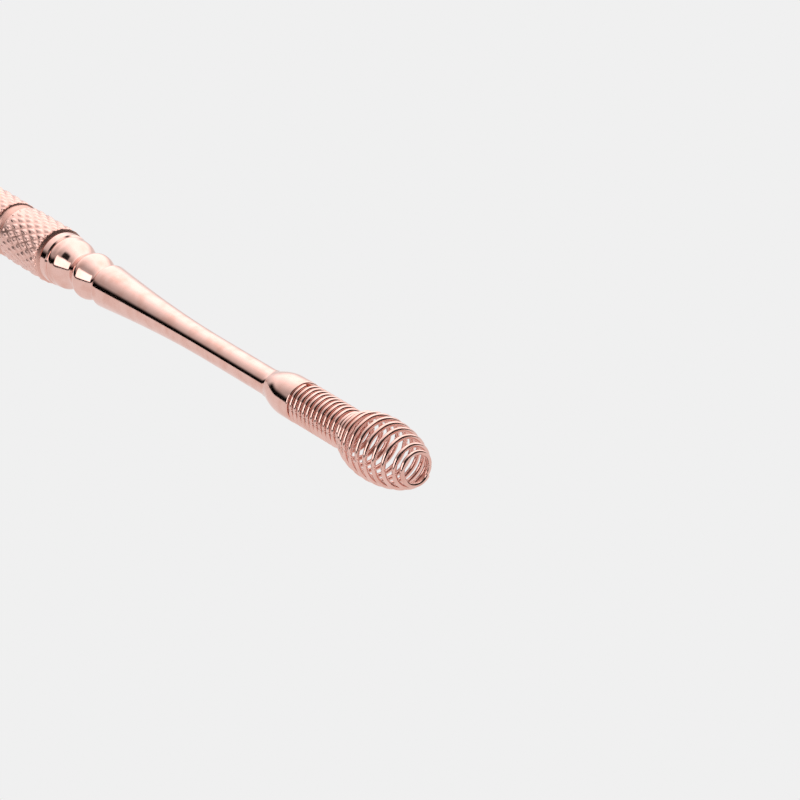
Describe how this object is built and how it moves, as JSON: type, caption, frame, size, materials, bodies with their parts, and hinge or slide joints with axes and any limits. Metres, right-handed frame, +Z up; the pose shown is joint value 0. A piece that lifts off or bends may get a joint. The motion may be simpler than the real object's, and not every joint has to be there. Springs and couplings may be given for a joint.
{
  "type": "nail tool with whisk and cuticle pusher",
  "caption": "Slim double-ended nail tool: knurled handle, flexible spring-wire whisk on one end and a spoon-shaped cuticle pusher on the other.",
  "frame": {"origin": "centre of the bounding box, which is the middle of the barrel on the tool's axis", "axes": "+X along the tool's axis towards the whisk's tip, -X towards the pusher blade, +Z up, towards the hollow side of the spoon"},
  "size_m": [0.146, 0.0052, 0.0052],
  "materials": {
    "knurled_rose_gold": "bright plating over a diamond knurl",
    "polished_rose_gold": "mirror-polished rose gold plating on stainless steel",
    "rose_gold_wire": "bright rose gold plating on drawn spring wire"
  },
  "bodies": {
    "handle": {"handle_barrel": "knurled_rose_gold", "whisk_stem": "polished_rose_gold", "whisk_ferrule": "polished_rose_gold", "pusher_stem": "polished_rose_gold", "pusher_blade": "polished_rose_gold"},
    "neck": {"whisk_neck_coil": "rose_gold_wire"},
    "bulb": {"whisk_bulb_coil": "rose_gold_wire"},
    "tip": {"whisk_tip_coil": "rose_gold_wire"}
  },
  "joints": [
    {"name": "whisk_nod", "type": "hinge", "parent": "handle", "child": "neck", "pos_m": [0.0603, 0, 0], "axis": [0, 1, 0], "range_deg": [-25, 25], "stiffness_Nm_per_rad": 0.005, "deforming": ["whisk_neck_coil"]},
    {"name": "whisk_sway", "type": "hinge", "parent": "neck", "child": "bulb", "pos_m": [0.0634, 0, 0], "axis": [0, 0, 1], "range_deg": [-25, 25], "stiffness_Nm_per_rad": 0.005},
    {"name": "whisk_squeeze", "type": "slide", "parent": "bulb", "child": "tip", "axis": [-1, 0, 0], "range_m": [0, 0.0015], "stiffness_N_per_m": 370, "deforming": ["whisk_bulb_coil"]}
  ]
}
